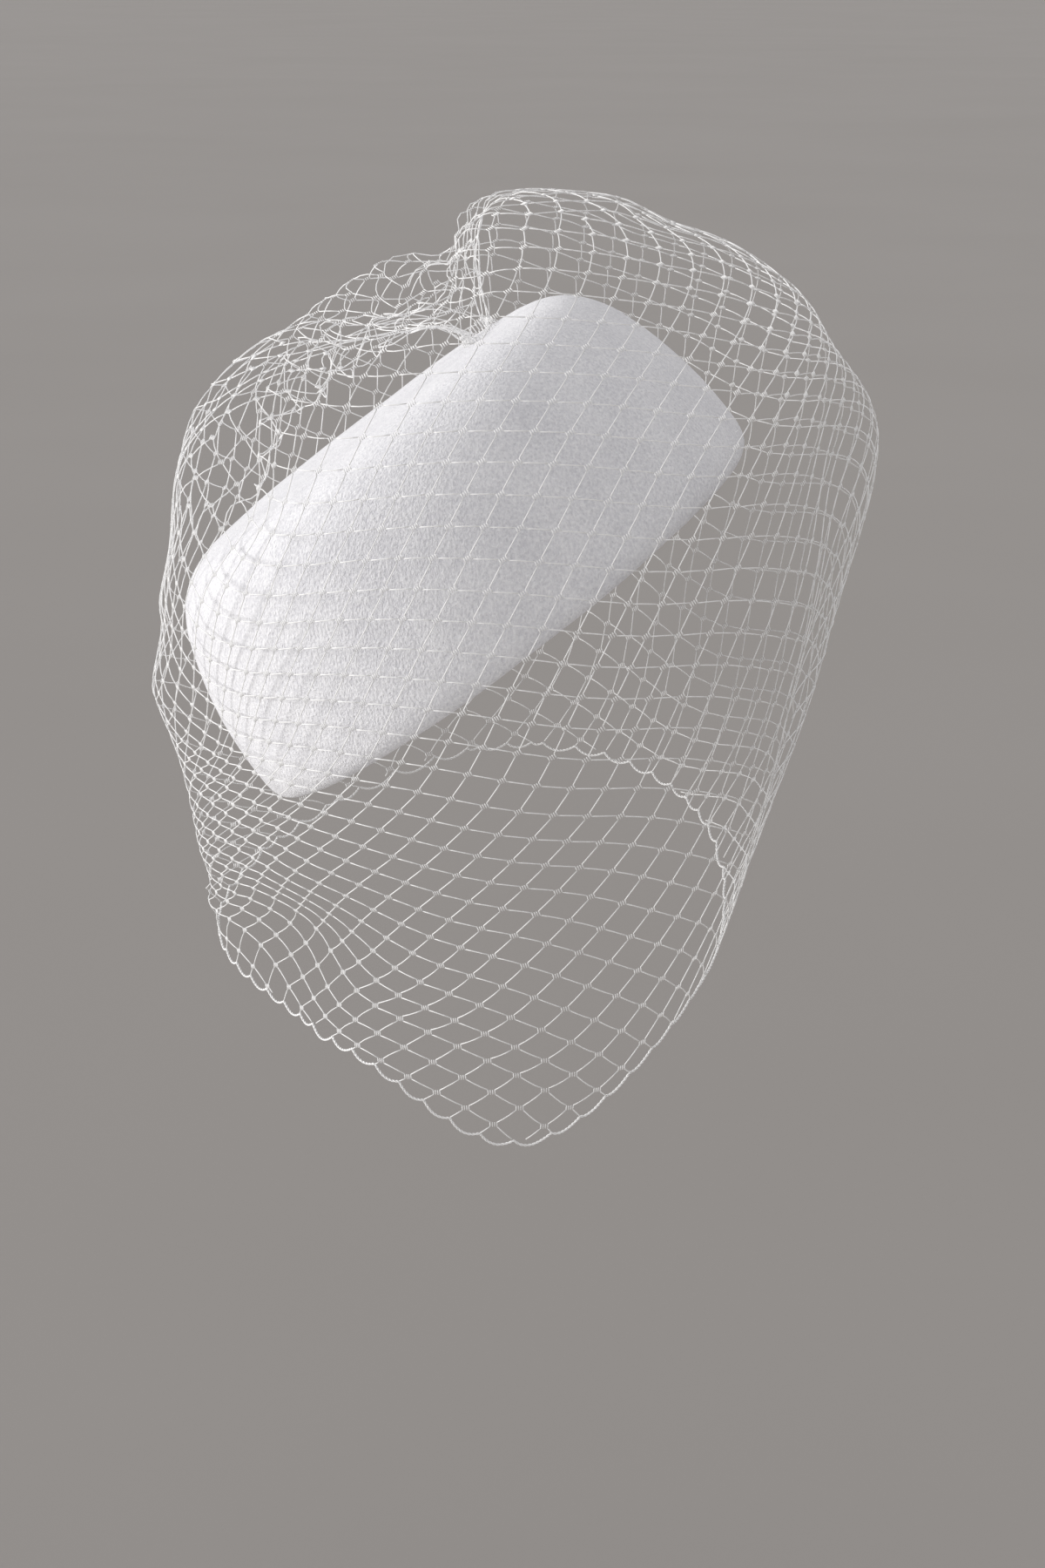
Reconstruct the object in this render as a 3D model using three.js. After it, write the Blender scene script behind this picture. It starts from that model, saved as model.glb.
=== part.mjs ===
// A white felt pillbox hat, worn tilted, with a net veil that is gathered on its tip, puffs up over the
// crown and hangs all round to the chin.
// Millimetres, +Z up. The wearer faces -Y. The origin is the middle of the rim, where a head sits.
import * as THREE from 'three';

const radians = THREE.MathUtils.degToRad;

// How the hat sits on the head
const TURN = 22;            // the whole hat is turned this far towards the wearer's left, degrees
const SIDE_LEAN = 37;       // the crown leans down over the wearer's right, degrees
const BACK_LEAN = 3;        // and a little to the back

// The felt crown, blocked in one piece
const CROWN_HEIGHT = 75;
const FELT_THICKNESS = 3;
const TIP_RISE = 1;         // the tip is very slightly domed
const TIP_RADIUS = 58;      // where the tip begins to round over
const RIM_RADIUS = 93;      // widest part, just above the rim
const RIM_ROLL = 9;         // height over which the rim rolls inward
const CROWN_SIDES = 48;
const CURVE_STEPS = 4;

// The curves of the crown's outer line below the tip: the points that each one leaves towards and comes in
// from, and where it ends, all as radius and height above the rim.
const CROWN_CURVES = [
  { name: 'rounded edge of the tip', leaves: [72, 74], comes: [78, 67], end: [83, 58] },
  { name: 'wall', leaves: [90, 42], comes: [RIM_RADIUS, 25], end: [RIM_RADIUS, RIM_ROLL] },
  { name: 'rolled rim', leaves: [RIM_RADIUS, 3], comes: [91.5, 0], end: [89, 0] },
];

// The veil: its thickness as a sheet, and how the diamond gaps are laid out over it
const VEIL_THICKNESS = 1.2;
const GAPS_AROUND = 12;
const NET_ROWS = 11;        // rows of knots from the gather to the hem
const CLOSED_ROWS = 1;      // rows next to the gather, where the net is bunched shut
const STRAND_STEPS = 2;     // straight pieces in one side of a diamond
const GAP_SHARE = 0.87;     // size of a gap against its diamond

// Sections through the veil from the gather to the hem, each an oval ring: its centre, its half width
// across and half depth, how far it leans to the right, and how far its front dips.
const SECTIONS = [
  { name: 'gather', x: -11, y: 18, z: 88, across: 5, deep: 16, lean: 37, dip: 0 },
  { name: 'neck', x: -19, y: 13, z: 97, across: 12, deep: 28, lean: 37, dip: 0 },
  { name: 'crest', x: -42, y: 4, z: 102, across: 41, deep: 52, lean: 37, dip: 0 },
  { name: 'puff', x: -48, y: 4, z: 94, across: 65, deep: 66, lean: 37, dip: 0 },
  { name: 'tip edge', x: -38, y: 4, z: 79, across: 85, deep: 82, lean: 37, dip: 0 },
  { name: 'shoulder', x: -24, y: 4, z: 64, across: 102, deep: 95, lean: 37, dip: 0 },
  { name: 'upper wall', x: -9, y: 4, z: 48, across: 112, deep: 103, lean: 37, dip: 0 },
  { name: 'lower wall', x: 5, y: 5, z: 26, across: 118, deep: 107, lean: 36, dip: 1 },
  { name: 'brow', x: 14, y: 6, z: -10, across: 116, deep: 103, lean: 32, dip: 4 },
  { name: 'cheek', x: 10, y: 8, z: -52, across: 99, deep: 94, lean: 26, dip: 12 },
  { name: 'hem', x: -4, y: 8, z: -103, across: 80, deep: 91, lean: 8, dip: 24 },
];

// Folds of the veil: the direction that each one runs in and how far it spreads, in degrees, the first and
// last section that it crosses, and how far it lifts the net and pushes it outward.
const FOLDS = [
  { name: 'crease between the left puffs', toward: 223, spread: 15, first: 3, last: 3, lift: -20, push: 0 },
  { name: 'crease, inner end', toward: 221, spread: 15, first: 2, last: 2, lift: -14, push: 0 },
  { name: 'crease, outer end', toward: 228, spread: 16, first: 4, last: 4, lift: -5, push: -8 },
  { name: 'front left puff', toward: 252, spread: 16, first: 2, last: 3, lift: 5, push: 0 },
  { name: 'front slope of the pinch', toward: 288, spread: 24, first: 2, last: 3, lift: -8, push: 0 },
  { name: 'front pinch', toward: 305, spread: 10, first: 2, last: 3, lift: -3, push: 0 },
  { name: 'back pinch', toward: 60, spread: 13, first: 2, last: 3, lift: -9, push: 0 },
  { name: 'back left puff', toward: 120, spread: 40, first: 2, last: 3, lift: 3, push: 0 },
  { name: 'back left puff, outer side', toward: 156, spread: 16, first: 2, last: 3, lift: 5, push: 0 },
  { name: 'back left puff, foot', toward: 150, spread: 24, first: 4, last: 4, lift: 0, push: 3 },
  { name: 'right puff', toward: 355, spread: 30, first: 2, last: 3, lift: -2, push: 0 },
  { name: 'flat of the right side', toward: 12, spread: 45, first: 5, last: 7, lift: 0, push: -7 },
  { name: 'top of the side wing', toward: 158, spread: 24, first: 5, last: 5, lift: 0, push: 14 },
  { name: 'side wing', toward: 160, spread: 24, first: 6, last: 9, lift: 0, push: 29 },
  { name: 'foot of the side wing', toward: 158, spread: 26, first: 10, last: 10, lift: -9, push: 21 },
  { name: 'crease in front of the wing', toward: 205, spread: 26, first: 9, last: 10, lift: 0, push: -8 },
  { name: 'hollow behind the ear', toward: 335, spread: 16, first: 8, last: 9, lift: 0, push: -10 },
  { name: 'fold at the back right', toward: 15, spread: 18, first: 8, last: 9, lift: 0, push: 6 },
  { name: 'hem drawn in at the right', toward: 350, spread: 30, first: 10, last: 10, lift: 0, push: -6 },
  { name: 'hem drawn up at the right', toward: 318, spread: 26, first: 10, last: 10, lift: 12, push: 0 },
  { name: 'hem drawn up at the left', toward: 236, spread: 26, first: 10, last: 10, lift: 15, push: -4 },
  { name: 'point of the hem', toward: 268, spread: 22, first: 10, last: 10, lift: -12, push: 0 },
];

// The crown's outer line from the middle of the tip to the lowest point of the rim, as radius and height.
function crownLine() {
  const line = new THREE.Path();
  line.moveTo(0, CROWN_HEIGHT + TIP_RISE);
  line.quadraticCurveTo(TIP_RADIUS / 2, CROWN_HEIGHT + TIP_RISE, TIP_RADIUS, CROWN_HEIGHT);
  for (const curve of CROWN_CURVES) line.bezierCurveTo(...curve.leaves, ...curve.comes, ...curve.end);
  return line.getPoints(CURVE_STEPS);
}

// The same line moved inward by the felt's thickness.
function insideOf(line, thickness) {
  return line.map((point, i) => {
    const before = line[Math.max(i - 1, 0)];
    const after = line[Math.min(i + 1, line.length - 1)];
    const along = after.clone().sub(before).normalize();
    if (i === 0) along.set(1, 0);
    if (i === line.length - 1) along.set(-1, 0);
    return new THREE.Vector2(point.x + along.y * thickness, point.y - along.x * thickness);
  });
}

// One closed wall of felt: down the outside, round the cut edge and back up the inside.
function feltCrown() {
  const outside = crownLine();
  const inside = insideOf(outside, FELT_THICKNESS);
  const lowest = outside[outside.length - 1];
  const cutEdge = new THREE.Vector2(lowest.x - FELT_THICKNESS / 2, lowest.y + FELT_THICKNESS / 2);
  const wall = [...outside, cutEdge, ...inside.reverse()];
  const geometry = new THREE.LatheGeometry(wall.reverse(), CROWN_SIDES);
  geometry.rotateX(Math.PI / 2);
  const felt = new THREE.MeshStandardMaterial({ color: 0xf0f0f3, roughness: 0.95, metalness: 0 });
  const crown = new THREE.Mesh(geometry, felt);
  crown.name = 'felt_crown';
  crown.rotation.set(radians(-BACK_LEAN), radians(-SIDE_LEAN), 0);
  return crown;
}

// A smooth value between the sections, with level counted in sections from the gather.
function between(key, level) {
  const last = SECTIONS.length - 1;
  const k = Math.min(Math.floor(level), last - 1);
  const t = level - k;
  const value = (i) => {
    if (i < 0) return 2 * SECTIONS[0][key] - SECTIONS[1][key];
    if (i > last) return 2 * SECTIONS[last][key] - SECTIONS[last - 1][key];
    return SECTIONS[i][key];
  };
  const [a, b, c, d] = [value(k - 1), value(k), value(k + 1), value(k + 2)];
  const slope = (c - a) / 2;
  const bend = a - 2.5 * b + 2 * c - d / 2;
  const twist = 1.5 * (b - c) + (d - a) / 2;
  return b + t * (slope + t * (bend + t * twist));
}

// How much of a fold is felt in a direction (degrees) and at a level: all of it on its own sections, and
// none one section further on.
function foldShare(fold, direction, level) {
  const away = THREE.MathUtils.euclideanModulo(direction - fold.toward + 180, 360) - 180;
  const inside = Math.min(level - (fold.first - 1), fold.last + 1 - level);
  return Math.exp(-((away / fold.spread) ** 2)) * THREE.MathUtils.smoothstep(inside, 0, 1);
}

// The middle surface of the veil.
function veilPoint(direction, level) {
  let lift = 0;
  let push = 0;
  for (const fold of FOLDS) {
    const share = foldShare(fold, direction, level);
    lift += fold.lift * share;
    push += fold.push * share;
  }
  const angle = radians(direction);
  const point = new THREE.Vector3(
    (between('across', level) + push) * Math.cos(angle),
    (between('deep', level) + push) * Math.sin(angle),
    lift,
  );
  point.applyAxisAngle(new THREE.Vector3(1, 0, 0), radians(between('dip', level)));
  point.applyAxisAngle(new THREE.Vector3(0, 1, 0), radians(-between('lean', level)));
  return point.add(new THREE.Vector3(between('x', level), between('y', level), between('z', level)));
}

// The direction out of the veil at a point.
function veilNormal(direction, level) {
  const step = 0.05;
  const last = SECTIONS.length - 1;
  const around = veilPoint(direction + step, level).sub(veilPoint(direction - step, level));
  const above = veilPoint(direction, Math.max(level - step, 0));
  const below = veilPoint(direction, Math.min(level + step, last));
  return below.sub(above).cross(around).normalize();
}

// Levels of the rows of knots, an even distance apart along the veil.
function rowLevels() {
  const samples = 200;
  const directions = 24;
  const last = SECTIONS.length - 1;
  const lengths = [0];
  for (let i = 1; i <= samples; i += 1) {
    let step = 0;
    for (let k = 0; k < directions; k += 1) {
      const direction = (k * 360) / directions;
      const from = veilPoint(direction, (last * (i - 1)) / samples);
      step += from.distanceTo(veilPoint(direction, (last * i) / samples)) / directions;
    }
    lengths.push(lengths[i - 1] + step);
  }
  const levels = [];
  for (let row = 0; row <= NET_ROWS; row += 1) {
    const wanted = (lengths[samples] * row) / NET_ROWS;
    let i = 1;
    while (i < samples && lengths[i] < wanted) i += 1;
    const part = (wanted - lengths[i - 1]) / (lengths[i] - lengths[i - 1]);
    levels.push((last * (i - 1 + part)) / samples);
  }
  return levels;
}

// The net as one solid: a sheet with a front and a back, cut through by diamond gaps. A place on it is a
// half column and a row, and the knots of each row stand half a gap on from those of the row above.
function veil() {
  const levels = rowLevels();
  const halfColumn = 180 / GAPS_AROUND;
  const positions = [];
  const triangles = [];
  const known = new Map();

  // Both faces of the sheet at a place, made once, so that neighbours share their corners.
  const pair = (column, row) => {
    const turn = THREE.MathUtils.euclideanModulo(column, 2 * GAPS_AROUND);
    const key = `${turn} ${row}`;
    if (!known.has(key)) {
      const whole = Math.min(Math.floor(row), NET_ROWS - 1);
      const level = THREE.MathUtils.lerp(levels[whole], levels[whole + 1], row - whole);
      const direction = turn * halfColumn;
      const middle = veilPoint(direction, level);
      const out = veilNormal(direction, level).multiplyScalar(VEIL_THICKNESS / 2);
      known.set(key, positions.length / 3);
      positions.push(...middle.clone().add(out), ...middle.sub(out));
    }
    return known.get(key);
  };
  const front = (place) => pair(...place);
  const back = (place) => pair(...place) + 1;
  const sheetTriangle = (a, b, c) => {
    triangles.push(front(a), front(b), front(c), back(a), back(c), back(b));
  };
  const edgeWall = (a, b) => {
    triangles.push(front(a), front(b), back(a), front(b), back(b), back(a));
  };

  // Places along the outline of a diamond, or of the part of one that lies inside the veil.
  const outline = (corners) => {
    const places = [];
    corners.forEach((corner, i) => {
      const next = corners[(i + 1) % corners.length];
      for (let k = 0; k < STRAND_STEPS; k += 1) {
        const t = k / STRAND_STEPS;
        places.push([
          THREE.MathUtils.lerp(corner[0], next[0], t),
          THREE.MathUtils.lerp(corner[1], next[1], t),
        ]);
      }
    });
    return places;
  };
  const addCell = (corners, open) => {
    const rim = outline(corners);
    const middle = [0, 1].map((k) => rim.reduce((sum, place) => sum + place[k], 0) / rim.length);
    const inward = (value, k) => THREE.MathUtils.lerp(middle[k], value, GAP_SHARE);
    const gap = rim.map((place) => place.map(inward));
    rim.forEach((place, i) => {
      const j = (i + 1) % rim.length;
      if (open) {
        sheetTriangle(place, rim[j], gap[j]);
        sheetTriangle(place, gap[j], gap[i]);
        edgeWall(gap[i], gap[j]);
      } else {
        sheetTriangle(place, rim[j], middle);
      }
    });
  };

  for (let row = 0; row <= NET_ROWS; row += 1) {
    for (let i = 0; i < GAPS_AROUND; i += 1) {
      const left = 2 * i + (row % 2);
      const corners = [[left, row]];
      if (row < NET_ROWS) corners.push([left + 1, row + 1]);
      corners.push([left + 2, row]);
      if (row > 0) corners.push([left + 1, row - 1]);
      addCell(corners, row > CLOSED_ROWS);
      if (row === 0 || row === NET_ROWS) {
        for (let k = 0; k < STRAND_STEPS; k += 1) {
          const from = [left + (2 * k) / STRAND_STEPS, row];
          const to = [left + (2 * (k + 1)) / STRAND_STEPS, row];
          if (row === 0) edgeWall(from, to);
          else edgeWall(to, from);
        }
      }
    }
  }

  const geometry = new THREE.BufferGeometry();
  geometry.setAttribute('position', new THREE.Float32BufferAttribute(positions, 3));
  geometry.setIndex(triangles);
  geometry.computeVertexNormals();
  const net = new THREE.MeshStandardMaterial({ color: 0xf4f4f0, roughness: 0.55, metalness: 0 });
  const mesh = new THREE.Mesh(geometry, net);
  mesh.name = 'veil';
  return mesh;
}

const hat = new THREE.Group();
hat.rotation.z = radians(TURN);
hat.add(feltCrown(), veil());

export default hat;
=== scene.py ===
import math

import bpy
import numpy as np
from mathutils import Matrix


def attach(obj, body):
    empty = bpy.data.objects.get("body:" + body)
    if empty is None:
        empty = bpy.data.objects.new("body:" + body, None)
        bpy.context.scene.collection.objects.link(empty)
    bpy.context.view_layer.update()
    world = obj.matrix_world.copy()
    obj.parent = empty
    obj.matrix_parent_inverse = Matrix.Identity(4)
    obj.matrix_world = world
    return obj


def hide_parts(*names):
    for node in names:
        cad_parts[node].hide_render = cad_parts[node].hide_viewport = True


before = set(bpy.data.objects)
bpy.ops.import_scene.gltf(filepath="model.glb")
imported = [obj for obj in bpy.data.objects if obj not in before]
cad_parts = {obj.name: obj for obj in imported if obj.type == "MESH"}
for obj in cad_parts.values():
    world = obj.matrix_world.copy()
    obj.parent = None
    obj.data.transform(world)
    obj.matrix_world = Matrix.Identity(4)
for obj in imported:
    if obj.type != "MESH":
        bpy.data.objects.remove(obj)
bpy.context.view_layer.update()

# Felt crown
# One hood of white wool felt, steamed and pulled over a block into a flat tip, a soft tip edge and a
# wall that swells outward to the rim. The rim is rolled in and left without a band or a lining.
MM = 0.001
hat_turn = math.radians(22)
side_lean = math.radians(37)
back_lean = math.radians(3)
felt_thickness = 3 * MM
crown_sides = 160
curve_steps = 9
tip_rings = 6
# Curves of the outer line from the rim up to the tip, each with its start, its two handles and its end,
# as radius and height in millimetres. From there the tip rises a little to its middle.
crown_curves = (
    ((89, 0), (91.5, 0), (93, 3), (93, 9)),
    ((93, 9), (93, 25), (90, 42), (83, 58)),
    ((83, 58), (78, 67), (72, 74), (58, 75)),
)
tip_radius, tip_height = crown_curves[-1][-1]
tip_rise = 1
hand_unevenness = 0.9 * MM
unevenness_size = 45 * MM


def cubic(start, leaves, comes, end, share):
    """A point on a cubic curve between two ends that are pulled by two handles."""
    rest = 1 - share
    weights = (rest**3, 3 * rest**2 * share, 3 * rest * share**2, share**3)
    return sum(weight * np.array(point) for weight, point in zip(weights, (start, leaves, comes, end)))


crown_line = [np.array(crown_curves[0][0], float)]
for curve in crown_curves:
    crown_line += [cubic(*curve, step / curve_steps) for step in range(1, curve_steps + 1)]
for ring in range(1, tip_rings):
    inward = 1 - ring / tip_rings
    crown_line.append(np.array((tip_radius * inward, tip_height + tip_rise * (1 - inward**2))))

bpy.ops.object.select_all(action="DESELECT")
rim_radius, rim_height = crown_line[0] * MM
bpy.ops.mesh.primitive_circle_add(vertices=crown_sides, radius=rim_radius, location=(0, 0, rim_height))
crown = bpy.context.object
crown.name = "felt_shell"
bpy.ops.object.mode_set(mode="EDIT")
bpy.ops.mesh.select_all(action="SELECT")
for below, above in zip(crown_line, crown_line[1:]):
    rise = (above[1] - below[1]) * MM
    bpy.ops.mesh.extrude_edges_move(TRANSFORM_OT_translate={"value": (0, 0, rise)})
    widening = above[0] / below[0]
    bpy.ops.transform.resize(value=(widening, widening, 1), center_override=(0, 0, 0))
bpy.ops.mesh.merge(type="CENTER")
bpy.ops.mesh.select_all(action="SELECT")
bpy.ops.mesh.normals_make_consistent(inside=False)
bpy.ops.object.mode_set(mode="OBJECT")
uneven = bpy.data.textures.new("felt pulled by hand", "CLOUDS")
uneven.noise_scale = unevenness_size
pull = crown.modifiers.new("pull", "DISPLACE")
pull.texture = uneven
pull.texture_coords = "LOCAL"
pull.strength = hand_unevenness
wall = crown.modifiers.new("wall", "SOLIDIFY")
wall.thickness = felt_thickness
wall.offset = -1
wall.use_even_offset = True
for modifier in ("pull", "wall"):
    bpy.ops.object.modifier_apply(modifier=modifier)
crown.rotation_mode = "YXZ"
crown.rotation_euler = (-back_lean, -side_lean, hat_turn)
bpy.ops.object.transform_apply(location=True, rotation=True, scale=True)
bpy.ops.object.shade_smooth()


class Shade:
    """A value in a material's node tree, which adds its own nodes when it is used in a sum."""

    def __init__(self, tree, socket=None):
        self.tree = tree
        self.socket = socket

    def node(self, kind, inputs=None, settings=None, output=0):
        made = self.tree.nodes.new(kind)
        for name, value in (settings or {}).items():
            setattr(made, name, value)
        for name, value in (inputs or {}).items():
            if isinstance(value, Shade):
                self.tree.links.new(value.socket, made.inputs[name])
            else:
                made.inputs[name].default_value = value
        return Shade(self.tree, made.outputs[output])

    def math(self, operation, first, second):
        return self.node("ShaderNodeMath", {0: first, 1: second}, {"operation": operation})

    def __add__(self, other):
        return self.math("ADD", self, other)

    def __rmul__(self, other):
        return self.math("MULTIPLY", self, other)


def new_material(name, finish):
    """A material, its surface shader with a finish that is the same all over, and its node tree."""
    material = bpy.data.materials.new(name)
    material.use_nodes = True
    surface = material.node_tree.nodes["Principled BSDF"]
    for socket, value in finish.items():
        surface.inputs[socket].default_value = value
    return material, surface, Shade(material.node_tree)


def noise(shade, place, scale, detail, roughness=0.5):
    """Soft noise over a surface, finer with a larger scale."""
    sizes = {"Vector": place, "Scale": scale, "Detail": detail, "Roughness": roughness}
    return shade.node("ShaderNodeTexNoise", sizes)


# The numbers of the colour sockets of a mix node.
mix_first = 6
mix_second = 7
mix_result = 2


def mixed(shade, share, first, second):
    """A colour between two others."""
    colours = {"Factor": share, mix_first: first, mix_second: second}
    return shade.node("ShaderNodeMix", colours, {"data_type": "RGBA"}, mix_result)


# The mottle of the felt: soft clouds, tufts of wool, and fibres that lie along one brushed direction.
cloud_scale = 60
tuft_scale = 1000
fibre_scale = 1500
felt_detail = 3
tuft_roughness = 0.6
fibre_stretch = (1.0, 1.0, 0.45)
fibre_turn = (0.3, 0.6, 0)
cloud_share = 0.2
tuft_share = 0.5
fibre_share = 0.3
mottle_low = 0.38
mottle_high = 0.62
darkest_felt = (0.71, 0.71, 0.745, 1)
lightest_felt = (0.94, 0.94, 0.955, 1)
tuft_rise = 0.6
fibre_rise = 0.4
felt_relief = 1.1 * MM
felt_relief_strength = 0.75
felt_finish = {
    "Roughness": 0.95,
    "Specular IOR Level": 0.2,
    "Sheen Weight": 0.35,
    "Sheen Roughness": 0.6,
}
felt, felt_surface, shade = new_material("white wool felt", felt_finish)
place = shade.node("ShaderNodeTexCoord", output="Object")
clouds = noise(shade, place, cloud_scale, felt_detail, tuft_roughness)
tufts = noise(shade, place, tuft_scale, felt_detail, tuft_roughness)
lay = {"Vector": place, "Scale": fibre_stretch, "Rotation": fibre_turn}
fibres = noise(shade, shade.node("ShaderNodeMapping", lay), fibre_scale, felt_detail)
mottle = cloud_share * clouds + tuft_share * tufts + fibre_share * fibres
spread = {"Value": mottle, "From Min": mottle_low, "From Max": mottle_high}
felt_colour = mixed(shade, shade.node("ShaderNodeMapRange", spread), darkest_felt, lightest_felt)
height = tuft_rise * tufts + fibre_rise * fibres
relief = {"Strength": felt_relief_strength, "Distance": felt_relief, "Height": height}
bump = shade.node("ShaderNodeBump", relief)
felt.node_tree.links.new(felt_colour.socket, felt_surface.inputs["Base Color"])
felt.node_tree.links.new(bump.socket, felt_surface.inputs["Normal"])
crown.data.materials.append(felt)
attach(crown, "root")
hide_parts("felt_crown")

# Nap of the felt
# Short loose ends of wool that stand up from the felt all over and soften its edges. They are part of
# the same felt, brushed up when the hood was finished.
nap_count = 36000
nap_shortest = 0.4 * MM
nap_longest = 1.3 * MM
nap_width = 0.05 * MM
nap_rise = 0.55
nap_root_depth = 0.2 * MM
nap_seed = 7
seed = np.random.default_rng(nap_seed)

shell = crown.data
shell.calc_loop_triangles()
corner_points = np.empty(len(shell.vertices) * 3)
shell.vertices.foreach_get("co", corner_points)
corner_points = corner_points.reshape(-1, 3)
triangle_corners = np.empty(len(shell.loop_triangles) * 3, int)
shell.loop_triangles.foreach_get("vertices", triangle_corners)
first, second, third = corner_points[triangle_corners.reshape(-1, 3)].transpose(1, 0, 2)
facing = np.cross(second - first, third - first)
areas = np.linalg.norm(facing, axis=1)
chosen = seed.choice(len(areas), nap_count, p=areas / areas.sum())
spot = seed.random((2, nap_count, 1))
spot = np.where(spot.sum(axis=0) > 1, 1 - spot, spot)
outward = facing[chosen] / areas[chosen, None]
roots = first[chosen] + spot[0] * (second - first)[chosen] + spot[1] * (third - first)[chosen]


shortest_vector = 1e-9


def unit(vectors):
    """The same directions with a length of one."""
    lengths = np.linalg.norm(vectors, axis=-1, keepdims=True)
    return vectors / np.maximum(lengths, shortest_vector)


lying = unit(np.cross(outward, seed.normal(size=(nap_count, 3))))
across = np.cross(outward, lying)
lengths = seed.uniform(nap_shortest, nap_longest, (nap_count, 1))
rises = seed.uniform(0, nap_rise, (nap_count, 1))
tips = roots + lengths * unit(lying + rises * outward)
bases = roots - nap_root_depth * outward
half = nap_width / 2
spike_points = [bases + half * across, bases - half * across, bases + nap_width * outward, tips]
spike_faces = np.array(((0, 1, 3), (1, 2, 3), (2, 0, 3), (0, 2, 1)))
nap_points = np.stack(spike_points, axis=1)
nap_faces = (np.arange(nap_count)[:, None, None] * len(spike_points) + spike_faces).reshape(-1, 3)


def new_piece(name, points, faces, material):
    """A piece of the hat from its points and faces, with smooth shading."""
    mesh = bpy.data.meshes.new(name)
    mesh.from_pydata(points.reshape(-1, 3).tolist(), [], faces)
    mesh.materials.append(material)
    mesh.polygons.foreach_set("use_smooth", np.ones(len(mesh.polygons), bool))
    piece = bpy.data.objects.new(name, mesh)
    bpy.context.collection.objects.link(piece)
    return piece


nap = new_piece("felt_nap", nap_points, nap_faces.tolist(), felt)
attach(nap, "root")

# Threads of the veil
# One length of white knotted net, in cells of 10 mm. It is gathered on the tip, puffs up over the crown
# and hangs all round to the chin, so each thread runs from knot to knot over that draped surface.

# Oval sections through the veil from the gather to the hem: centre, half width and half depth in
# millimetres, and the lean to the side and the dip of the front in degrees.
sections = np.array((
    (-11, 18, 88, 5, 16, 37, 0),
    (-19, 13, 97, 12, 28, 37, 0),
    (-42, 4, 102, 41, 52, 37, 0),
    (-48, 4, 94, 65, 66, 37, 0),
    (-38, 4, 79, 85, 82, 37, 0),
    (-24, 4, 64, 102, 95, 37, 0),
    (-9, 4, 48, 112, 103, 37, 0),
    (5, 5, 26, 118, 107, 36, 1),
    (14, 6, -10, 116, 103, 32, 4),
    (10, 8, -52, 99, 94, 26, 12),
    (-4, 8, -103, 80, 91, 8, 24),
), float)
# Folds: the direction that each runs in and its spread in degrees, the first and last section that it
# crosses, and how far it lifts the net and pushes it outward in millimetres.
folds = (
    (223, 15, 3, 3, -20, 0),
    (221, 15, 2, 2, -14, 0),
    (228, 16, 4, 4, -5, -8),
    (252, 16, 2, 3, 5, 0),
    (288, 24, 2, 3, -8, 0),
    (305, 10, 2, 3, -3, 0),
    (60, 13, 2, 3, -9, 0),
    (120, 40, 2, 3, 3, 0),
    (156, 16, 2, 3, 5, 0),
    (150, 24, 4, 4, 0, 3),
    (355, 30, 2, 3, -2, 0),
    (12, 45, 5, 7, 0, -7),
    (158, 24, 5, 5, 0, 14),
    (160, 24, 6, 9, 0, 29),
    (158, 26, 10, 10, -9, 21),
    (205, 26, 9, 10, 0, -8),
    (335, 16, 8, 9, 0, -10),
    (15, 18, 8, 9, 0, 6),
    (350, 30, 10, 10, 0, -6),
    (318, 26, 10, 10, 12, 0),
    (236, 26, 10, 10, 15, -4),
    (268, 22, 10, 10, -12, 0),
)
hem_level = len(sections) - 1
gather_level = -0.1
before_first = 2 * sections[0] - sections[1]
after_last = 2 * sections[-1] - sections[-2]
section_line = np.concatenate([[before_first], sections, [after_last]])


def around(direction, toward):
    """How many degrees a direction is from another one, either way round."""
    return (direction - toward + 180) % 360 - 180


def turned(first, second, angle):
    """Two coordinates turned by an angle in degrees."""
    cosine = np.cos(np.radians(angle))
    sine = np.sin(np.radians(angle))
    return first * cosine - second * sine, first * sine + second * cosine


def veil_point(direction, level):
    """A point on the draped veil, in millimetres. Past the gather and the hem it runs straight on."""
    inside = np.clip(level, 0, hem_level)
    section = np.minimum(inside.astype(int), hem_level - 1)
    share = (inside - section)[..., None]
    # A smooth curve between two sections, b and c, which also follows the ones before and after them.
    a, b, c, d = (section_line[section + step] for step in range(4))
    bend = share * (a - 2.5 * b + 2 * c - d / 2 + share * (1.5 * (b - c) + (d - a) / 2))
    past = (level - inside)[..., None]
    straight = np.where(past < 0, sections[1] - sections[0], sections[-1] - sections[-2])
    oval = b + share * ((c - a) / 2 + bend) + past * straight
    x, y, z, width, depth, lean, dip = np.moveaxis(oval, -1, 0)
    lifted = np.zeros_like(x)
    pushed = np.zeros_like(x)
    for toward, spread, first, last, lift, push in folds:
        ease = np.clip(np.minimum(inside - first + 1, last + 1 - inside), 0, 1)
        weight = np.exp(-((around(direction, toward) / spread) ** 2)) * ease**2 * (3 - 2 * ease)
        lifted += lift * weight
        pushed += push * weight
    angle = np.radians(direction)
    sideways = (width + pushed) * np.cos(angle)
    away, up = turned((depth + pushed) * np.sin(angle), lifted, dip)
    sideways, up = turned(sideways, up, lean)
    return np.stack([x + sideways, y + away, z + up], axis=-1)


def veil_slopes(direction, level):
    """How the point moves for one degree round the veil, and for one section down it."""
    step = 0.001
    round_it = veil_point(direction + step, level) - veil_point(direction - step, level)
    down_it = veil_point(direction, level + step) - veil_point(direction, level - step)
    return round_it / (2 * step), down_it / (2 * step)


def dot(first, second):
    """The product of each pair of vectors."""
    return np.einsum("...k,...k->...", first, second)


cell_side = 10
columns = 44
start_level = 4.61
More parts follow.
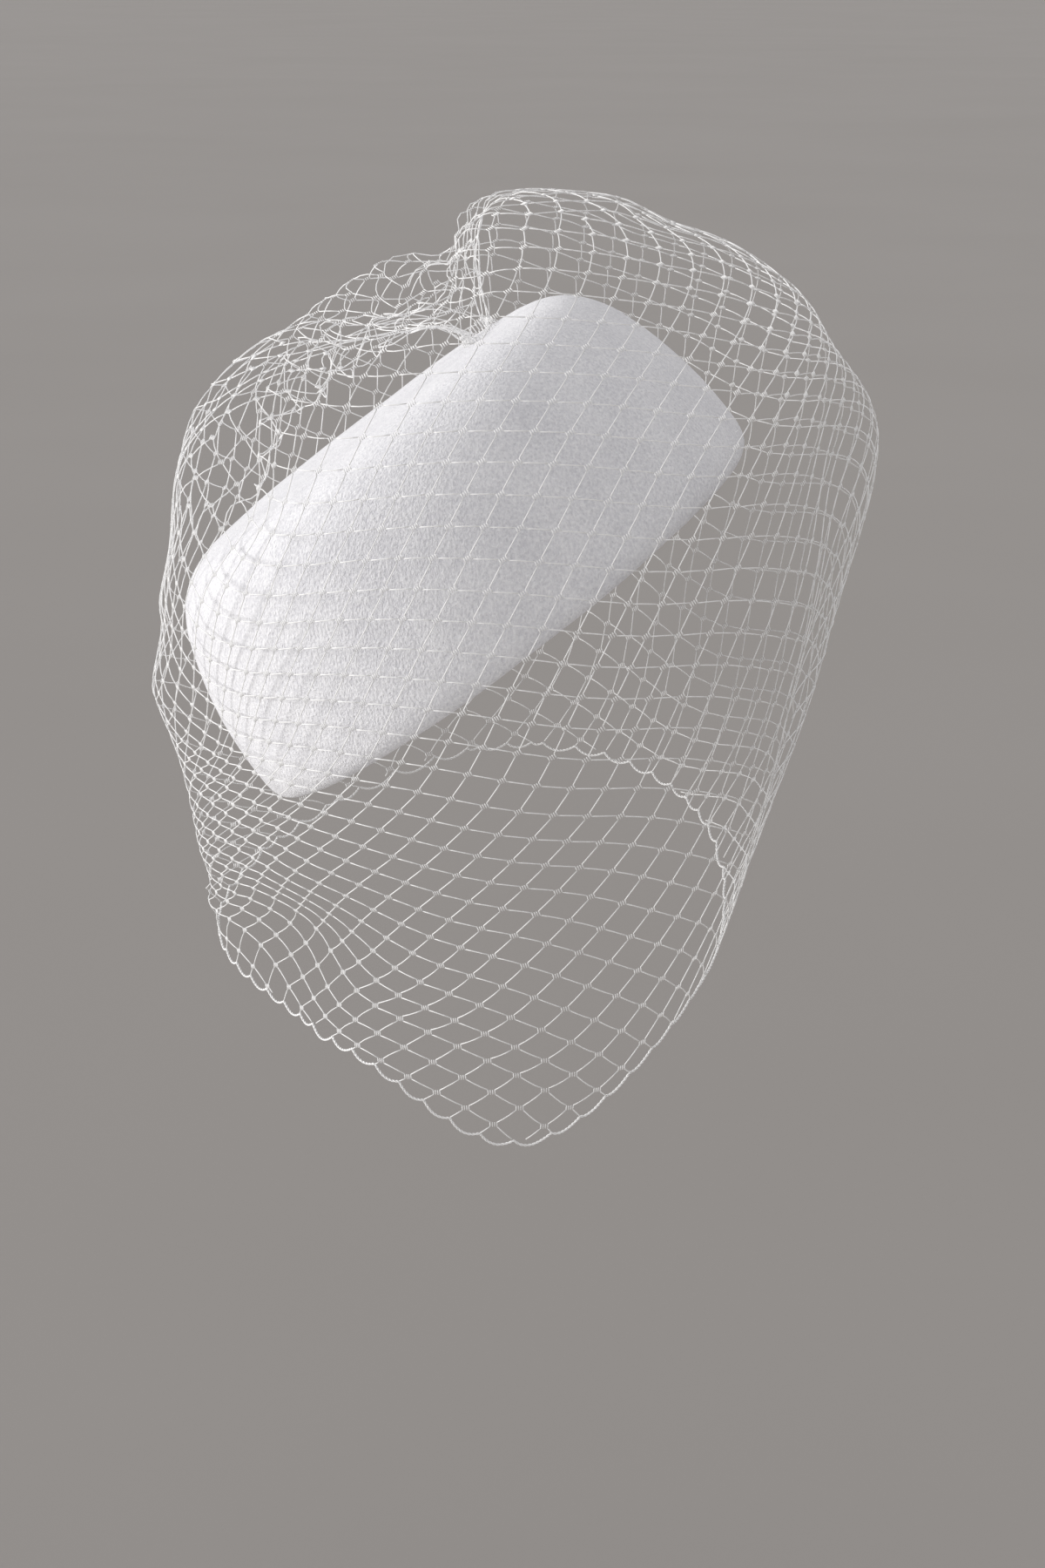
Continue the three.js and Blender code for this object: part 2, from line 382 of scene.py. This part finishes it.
# How far the first row of knots dips, in sections, and how much wider or closer its knots are than the
# rest, each round a direction and with a spread in degrees.
start_dips = ((0, 50, 1.51), (180, 50, -0.24), (215, 35, 0.21), (270, 50, -0.21))
start_widths = ((80, 45, -0.27), (160, 45, -0.19), (200, 35, -0.065), (270, 55, 0.09))
# The flattest cell as a share of its side, and the limits of the search for each knot's place.
flattest_cell = 0.3
most_rows = 60
search_steps = 14
longest_search_step = 3
smallest_scale = 1e-6
past_edges = 1.5


def next_row(directions, levels, way):
    """The row of knots below (way 1) or above (way -1), each on equal threads from two neighbours."""
    next_directions = np.roll(directions, -1)
    next_directions[-1] += 360
    next_levels = np.roll(levels, -1)
    one = veil_point(directions, levels)
    two = veil_point(next_directions, next_levels)
    half_gap = np.linalg.norm(two - one, axis=1) / 2
    drop = np.sqrt(np.maximum(cell_side**2 - half_gap**2, (flattest_cell * cell_side) ** 2))
    thread = np.sqrt(half_gap**2 + drop**2)
    direction = (directions + next_directions) / 2
    level = (levels + next_levels) / 2
    level = level + way * drop / np.linalg.norm(veil_slopes(direction, level)[1], axis=1)
    for _ in range(search_steps):
        point = veil_point(direction, level)
        round_it, down_it = veil_slopes(direction, level)
        to_one = unit(point - one)
        to_two = unit(point - two)
        short_one = thread - np.linalg.norm(point - one, axis=1)
        short_two = thread - np.linalg.norm(point - two, axis=1)
        a, b = dot(to_one, round_it), dot(to_one, down_it)
        c, d = dot(to_two, round_it), dot(to_two, down_it)
        scale = a * d - b * c
        scale = np.where(np.abs(scale) < smallest_scale, smallest_scale, scale)
        most_round = longest_search_step / np.linalg.norm(round_it, axis=1)
        most_down = longest_search_step / np.linalg.norm(down_it, axis=1)
        round_step = (short_one * d - short_two * b) / scale
        down_step = (short_two * a - short_one * c) / scale
        direction = direction + np.clip(round_step, -most_round, most_round)
        level = level + np.clip(down_step, -most_down, most_down)
        level = np.clip(level, -past_edges, hem_level + past_edges)
    return direction, level


def around_bumps(direction, bumps):
    """The sum of some soft bumps at a direction round the veil."""
    total = 0
    for toward, spread, size in bumps:
        total = total + size * np.exp(-((around(direction, toward) / spread) ** 2))
    return total


# The first row goes round the crown, and the others are knotted to it upward and downward.
start_line_points = 3601
full_turn = np.linspace(0, 360, start_line_points)
start_line = veil_point(full_turn, start_level + around_bumps(full_turn, start_dips))
steps = np.linalg.norm(np.diff(start_line, axis=0), axis=1)
steps = steps / (1 + around_bumps(full_turn[1:], start_widths))
travelled = np.concatenate([[0], np.cumsum(steps)])
start_directions = np.interp(np.arange(columns) / columns * travelled[-1], travelled, full_turn)
start_levels = start_level + around_bumps(start_directions, start_dips)

# Knots that come closer to a neighbour than this, in millimetres, are tied to it: above the first row,
# and from its highest knot down. Near the gather the limit falls to a share of itself.
narrowest_cell = 10.5
narrowest_below = 9
gather_start = 1.6
narrowest_at_gather = 0.25
ties_apart = 2


def taken_together(directions, levels):
    """A row with its closest neighbours tied together, and for each knot the number of its new one."""
    gaps = np.linalg.norm(np.diff(veil_point(directions, levels), axis=0), axis=1)
    least = np.where(levels > start_levels.min(), narrowest_below, narrowest_cell)
    least = least * np.clip(levels / gather_start, narrowest_at_gather, 1)
    tied = np.zeros(len(directions) + ties_apart + 1, bool)
    for knot in np.argsort(gaps):
        beside = tied[max(knot + 1 - ties_apart, 0) : knot + 2 + ties_apart]
        if gaps[knot] < least[knot] and not beside.any():
            tied[knot + 1] = True
    numbers = np.cumsum(~tied[: len(directions)]) - 1
    counts = np.bincount(numbers)
    return np.bincount(numbers, directions) / counts, np.bincount(numbers, levels) / counts, numbers


rows = [(start_directions, start_levels)]
row_knots = [np.arange(columns)]
links = []
for way in (1, -1):
    row = 0
    for _ in range(most_rows):
        directions, levels = next_row(*rows[row], way)
        directions, levels, joined = taken_together(directions, levels)
        hung_from = row_knots[row]
        knots_here = row_knots[-1][-1] + 1 + np.arange(len(levels))
        for side, other in ((1, hung_from), (-1, np.roll(hung_from, -1))):
            ends = (other, knots_here[joined]) if way > 0 else (knots_here[joined], other)
            links.append(np.stack([*ends, np.full_like(other, side * way)], axis=1))
        rows.append((directions, levels))
        row_knots.append(knots_here)
        row = len(rows) - 1
        if levels.min() > hem_level or levels.max() < 0:
            break
knot_directions = np.concatenate([directions for directions, levels in rows])
knot_levels = np.concatenate([levels for directions, levels in rows])
knot_points = veil_point(knot_directions, knot_levels)
to_right = np.concatenate([np.roll(numbers, -1) for numbers in row_knots])
to_left = np.concatenate([np.roll(numbers, 1) for numbers in row_knots])
knot_slopes = veil_slopes(knot_directions, knot_levels)
knot_normals = unit(np.cross(knot_slopes[1], knot_slopes[0]))
knot_along = unit(knot_points[to_right] - knot_points[to_left])
knot_down = unit(np.cross(knot_along, knot_normals))
knot_down *= np.sign(dot(knot_down, knot_slopes[1]))[..., None]
cell_widths = np.linalg.norm(knot_points[to_right] - knot_points[to_left], axis=-1) / 2

# Sizes of the knots and the threads, in millimetres. Where the cells are narrow the knots are smaller.
knot_half_length = 1.05
knot_half_height = 0.75
open_width = 9
tightest_knot = 0.45
knot_size = np.clip(cell_widths / open_width, tightest_knot, 1)[..., None]
corner_along = knot_along * knot_half_length * knot_size
corner_down = knot_down * knot_half_height * knot_size

thread_width = 0.36
thread_sides = 5
thread_pieces = 3
longest_thread = 1.4 * cell_side
shortest_share = 0.02
smallest_drop = 1e-9
shares = np.linspace(0, 1, thread_pieces + 1)[:, None]
upper, lower, side = np.concatenate(links).T
_, single = np.unique(upper * len(knot_levels) + lower, return_index=True)
upper, lower, side = upper[single], lower[single], side[single, None]
from_direction = knot_directions[upper]
from_level = knot_levels[upper]
turn = around(knot_directions[lower], from_direction)
drop = knot_levels[lower] - from_level
leaves = side * corner_along[upper] + corner_down[upper]
arrives = -side * corner_along[lower] - corner_down[lower]
# The threads are cut where they reach the felt at the gather, and where they meet the hem.
safe_drop = np.where(np.abs(drop) < smallest_drop, smallest_drop, drop)
ends = np.stack([(gather_level - from_level) / safe_drop, (hem_level - from_level) / safe_drop])
begin, finish = np.clip(np.sort(ends, axis=0), 0, 1)
share = begin + shares * (finish - begin)
line = veil_point(from_direction + share * turn, from_level + share * drop)
line = line + (1 - share)[..., None] * leaves + share[..., None] * arrives
span = np.linalg.norm(np.diff(line, axis=0), axis=-1).sum(axis=0)
shown = (finish - begin > shortest_share) & (span < longest_thread)
normals = np.cross(*veil_slopes(from_direction + share * turn, from_level + share * drop)[::-1])
thread_lines = line[:, shown].transpose(1, 0, 2)
thread_normals = unit(normals[:, shown].transpose(1, 0, 2))
met = shown & (ends[1] > 0) & (ends[1] < 1)
hem_ends = (from_direction + ends[1] * turn)[met] % 360


def in_part(points):
    """Millimetres in the veil's own frame to metres in the hat's."""
    x, y = turned(points[..., 0], points[..., 1], math.degrees(hat_turn))
    return np.stack([x, y, points[..., 2]], axis=-1) * MM


def round_threads(lines, normals, width, sides, closed=False):
    """Points and faces of round threads along lines that all have the same number of points."""
    count, length, _ = lines.shape
    if closed:
        along = np.roll(lines, -1, axis=1) - np.roll(lines, 1, axis=1)
    else:
        along = np.gradient(lines, axis=1)
    across = unit(np.cross(along, normals))
    up = unit(np.cross(across, along))
    angles = np.arange(sides) * 2 * math.pi / sides
    ring = np.cos(angles)[:, None] * across[:, :, None] + np.sin(angles)[:, None] * up[:, :, None]
    points = lines[:, :, None] + ring * width / 2
    numbers = np.arange(count * length * sides).reshape(count, length, sides)
    here = numbers if closed else numbers[:, :-1]
    there = np.roll(numbers, -1, axis=1) if closed else numbers[:, 1:]
    quad = [here, np.roll(here, -1, axis=2), np.roll(there, -1, axis=2), there]
    faces = np.stack(quad, axis=-1).reshape(-1, len(quad)).tolist()
    if not closed:
        faces += numbers[:, 0, ::-1].tolist() + numbers[:, -1].tolist()
    return points, faces


# The thread's colour varies a little along the net, and finely with the lay of its filaments.
dye_scale = 90
filament_scale = 2600
thread_detail = 2
dye_share = 0.5
filament_share = 0.5
darkest_thread = (0.90, 0.90, 0.89, 1)
lightest_thread = (0.98, 0.98, 0.97, 1)
thread_relief = 0.1 * MM
thread_relief_strength = 0.3
thread_finish = {"Roughness": 0.5, "Specular IOR Level": 0.4, "Sheen Weight": 0.2}
thread, thread_surface, shade = new_material("white net thread", thread_finish)
place = shade.node("ShaderNodeTexCoord", output="Object")
dye = noise(shade, place, dye_scale, thread_detail)
filaments = noise(shade, place, filament_scale, thread_detail)
tone = dye_share * dye + filament_share * filaments
thread_colour = mixed(shade, tone, darkest_thread, lightest_thread)
relief = {"Strength": thread_relief_strength, "Distance": thread_relief, "Height": filaments}
bump = shade.node("ShaderNodeBump", relief)
thread.node_tree.links.new(thread_colour.socket, thread_surface.inputs["Base Color"])
thread.node_tree.links.new(bump.socket, thread_surface.inputs["Normal"])

net_points, net_faces = round_threads(thread_lines, thread_normals, thread_width, thread_sides)
net = new_piece("veil_threads", in_part(net_points), net_faces, thread)
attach(net, "root")
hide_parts("veil")

# Knots of the veil
# Where two threads meet they are wrapped into a flat knot of four short bars side by side, and the
# threads leave it at its corners.
bar_count = 4
bar_proud = 0.08
shown = (knot_levels > gather_level) & (knot_levels < hem_level)
centres = (knot_points + knot_normals * bar_proud)[shown]
bar_down = corner_down[shown][:, None]
bar_places = np.linspace(-1, 1, bar_count)[:, None]
middles = centres[:, None] + bar_places * corner_along[shown][:, None]
bar_lines = np.stack([middles - bar_down, middles + bar_down], axis=2).reshape(-1, 2, 3)
bar_normals = knot_normals[shown].repeat(bar_count, axis=0)[:, None].repeat(2, axis=1)
bar_points, bar_faces = round_threads(bar_lines, bar_normals, thread_width, thread_sides)
knots = new_piece("veil_knots", in_part(bar_points), bar_faces, thread)
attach(knots, "root")

# Hem cord of the veil
# The edge of the net is finished with a thicker cord of two twisted plies. The last threads are knotted
# to it, and between them it hangs down in small scallops.
ply_count = 2
ply_width = 0.45
ply_offset = 0.2
twist_length = 2.6
points_a_twist = 6
scallop_depth = 0.2
narrowest_scallop = 4
scallop_pieces = 10
met_directions = np.sort(hem_ends)
met_points = veil_point(met_directions, np.full_like(met_directions, hem_level))
kept = [0]
for end in range(1, len(met_directions)):
    if np.linalg.norm(met_points[end] - met_points[kept[-1]]) > narrowest_scallop:
        kept.append(end)
met_directions = met_directions[kept]
met_points = met_points[kept]
share = np.arange(scallop_pieces) / scallop_pieces
gaps = np.linalg.norm(np.roll(met_points, -1, axis=0) - met_points, axis=1)
gap_turns = around(np.roll(met_directions, -1), met_directions) % 360
hem_directions = (met_directions[:, None] + share * gap_turns[:, None]).ravel()
hem_levels = np.full_like(hem_directions, hem_level)
# Each scallop hangs in a bow that is lowest in its middle.
bow = 1 - (2 * share - 1) ** 2
sag = (scallop_depth * gaps[:, None] * bow).ravel()
hem_levels += sag / np.linalg.norm(veil_slopes(hem_directions, hem_levels)[1], axis=1)
hem_line = veil_point(hem_directions, hem_levels)
hem_normals = unit(np.cross(*veil_slopes(hem_directions, hem_levels)[::-1]))
hem_steps = np.linalg.norm(np.roll(hem_line, -1, axis=0) - hem_line, axis=1)
hem_run = np.concatenate([[0], np.cumsum(hem_steps)])
twists = round(hem_run[-1] / twist_length)
hem_places = np.arange(twists * points_a_twist)
hem_stops = hem_places / len(hem_places) * hem_run[-1]


def along_hem(values):
    """Values along the hem at the even steps that the twist of its plies needs."""
    closed = np.concatenate([values, values[:1]])
    return np.stack([np.interp(hem_stops, hem_run, column) for column in closed.T], axis=1)


hem_line = along_hem(hem_line)
hem_normals = unit(along_hem(hem_normals))
hem_along = np.roll(hem_line, -1, axis=0) - np.roll(hem_line, 1, axis=0)
hem_side = unit(np.cross(hem_normals, hem_along))
hem_lines = []
for ply in range(ply_count):
    phase = 2 * math.pi * (hem_places / points_a_twist + ply / ply_count)[:, None]
    hem_lines.append(hem_line + ply_offset * (np.cos(phase) * hem_side + np.sin(phase) * hem_normals))
hem_lines = np.array(hem_lines)
ply_normals = np.array([hem_normals] * ply_count)
hem_points, hem_faces = round_threads(hem_lines, ply_normals, ply_width, thread_sides, closed=True)
hem = new_piece("veil_hem", in_part(hem_points), hem_faces, thread)
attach(hem, "root")

# Tacking of the gather
# Small stitches of the same white thread that hold the gathered net down on the tip. Each goes over the
# lowest threads and into the felt on both sides of them.
stitch_count = 26
stitch_points = 7
stitch_reach = 1.4
stitch_top = 0.5
stitch_foot = -2.3
stitch_width = 0.4
stitch_directions = np.arange(stitch_count) * 360 / stitch_count
stitch_levels = np.zeros(stitch_count)
stitch_centres = veil_point(stitch_directions, stitch_levels)
gather_middle = sections[0, :3]
tip_up = np.array((-math.sin(side_lean), 0, math.cos(side_lean)))
stitch_out = stitch_centres - gather_middle
stitch_out = unit(stitch_out - dot(stitch_out, tip_up)[:, None] * tip_up)
swing = np.linspace(-1, 1, stitch_points)[:, None]
lift = stitch_top + (stitch_foot - stitch_top) * swing**2
stitch_lines = stitch_centres[:, None] + stitch_reach * swing * stitch_out[:, None] + lift * tip_up
stitch_normals = np.cross(stitch_out, tip_up)[:, None].repeat(stitch_points, axis=1)
stitch_tubes, stitch_faces = round_threads(stitch_lines, stitch_normals, stitch_width, thread_sides)
tacking = new_piece("gather_stitches", in_part(stitch_tubes), stitch_faces, thread)
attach(tacking, "root")

# Floor, light and camera
# A plain floor, a soft light from the left as from a wide window, a weak one from below, light from all
# round, and the camera where the photograph was taken from.
floor_size = 80
floor_height = -0.36
patch_scale = 1.5
patch_detail = 3
darkest_floor = (0.345, 0.325, 0.305, 1)
lightest_floor = (0.375, 0.355, 0.335, 1)
bpy.ops.object.select_all(action="DESELECT")
bpy.ops.mesh.primitive_plane_add(size=floor_size, location=(0, 0, floor_height))
floor = bpy.context.object
floor.name = "studio_floor"
bpy.ops.object.transform_apply(location=True, rotation=True, scale=True)
ground, ground_surface, shade = new_material("warm grey floor", {"Roughness": 0.9})
place = shade.node("ShaderNodeTexCoord", output="Object")
patches = noise(shade, place, patch_scale, patch_detail)
ground_colour = mixed(shade, patches, darkest_floor, lightest_floor)
ground.node_tree.links.new(ground_colour.socket, ground_surface.inputs["Base Color"])
floor.data.materials.append(ground)

# Each light is wide and far off, so it is soft and equally strong everywhere. The second is the weak
# light that a bright table throws back from below, so the floor lets it through.
floor.visible_shadow = False
# Name, side that it comes from, width in degrees, strength and colour.
lights = (
    ("window", (-3.3, -1.15, 0.4), 24, 2.65, (1.0, 0.985, 0.975)),
    ("table", (-0.9, -1.6, -1.6), 60, 0.75, (1.0, 0.985, 0.98)),
)
for name, spot, width, strength, colour in lights:
    bpy.ops.object.light_add(type="SUN", location=spot)
    light = bpy.context.object
    light.name = name
    light.data.angle = math.radians(width)
    light.data.energy = strength
    light.data.color = colour
    light.rotation_euler = (-light.location).to_track_quat("-Z", "Y").to_euler()

air_colour = (0.66, 0.652, 0.662, 1)
world = bpy.data.worlds.new("studio air")
world.use_nodes = True
world.node_tree.nodes["Background"].inputs["Color"].default_value = air_colour
bpy.context.scene.world = world
bpy.context.scene.view_settings.view_transform = "Standard"

camera_place = (0.3441, -0.8423, 0.2065)
camera_down = math.radians(16)
camera_lens = 68
camera_film = 36
camera_turn = (math.pi / 2 - camera_down, 0, hat_turn)
bpy.ops.object.camera_add(location=camera_place, rotation=camera_turn)
camera = bpy.context.object
camera.data.lens = camera_lens
camera.data.sensor_width = camera_film
bpy.context.scene.camera = camera
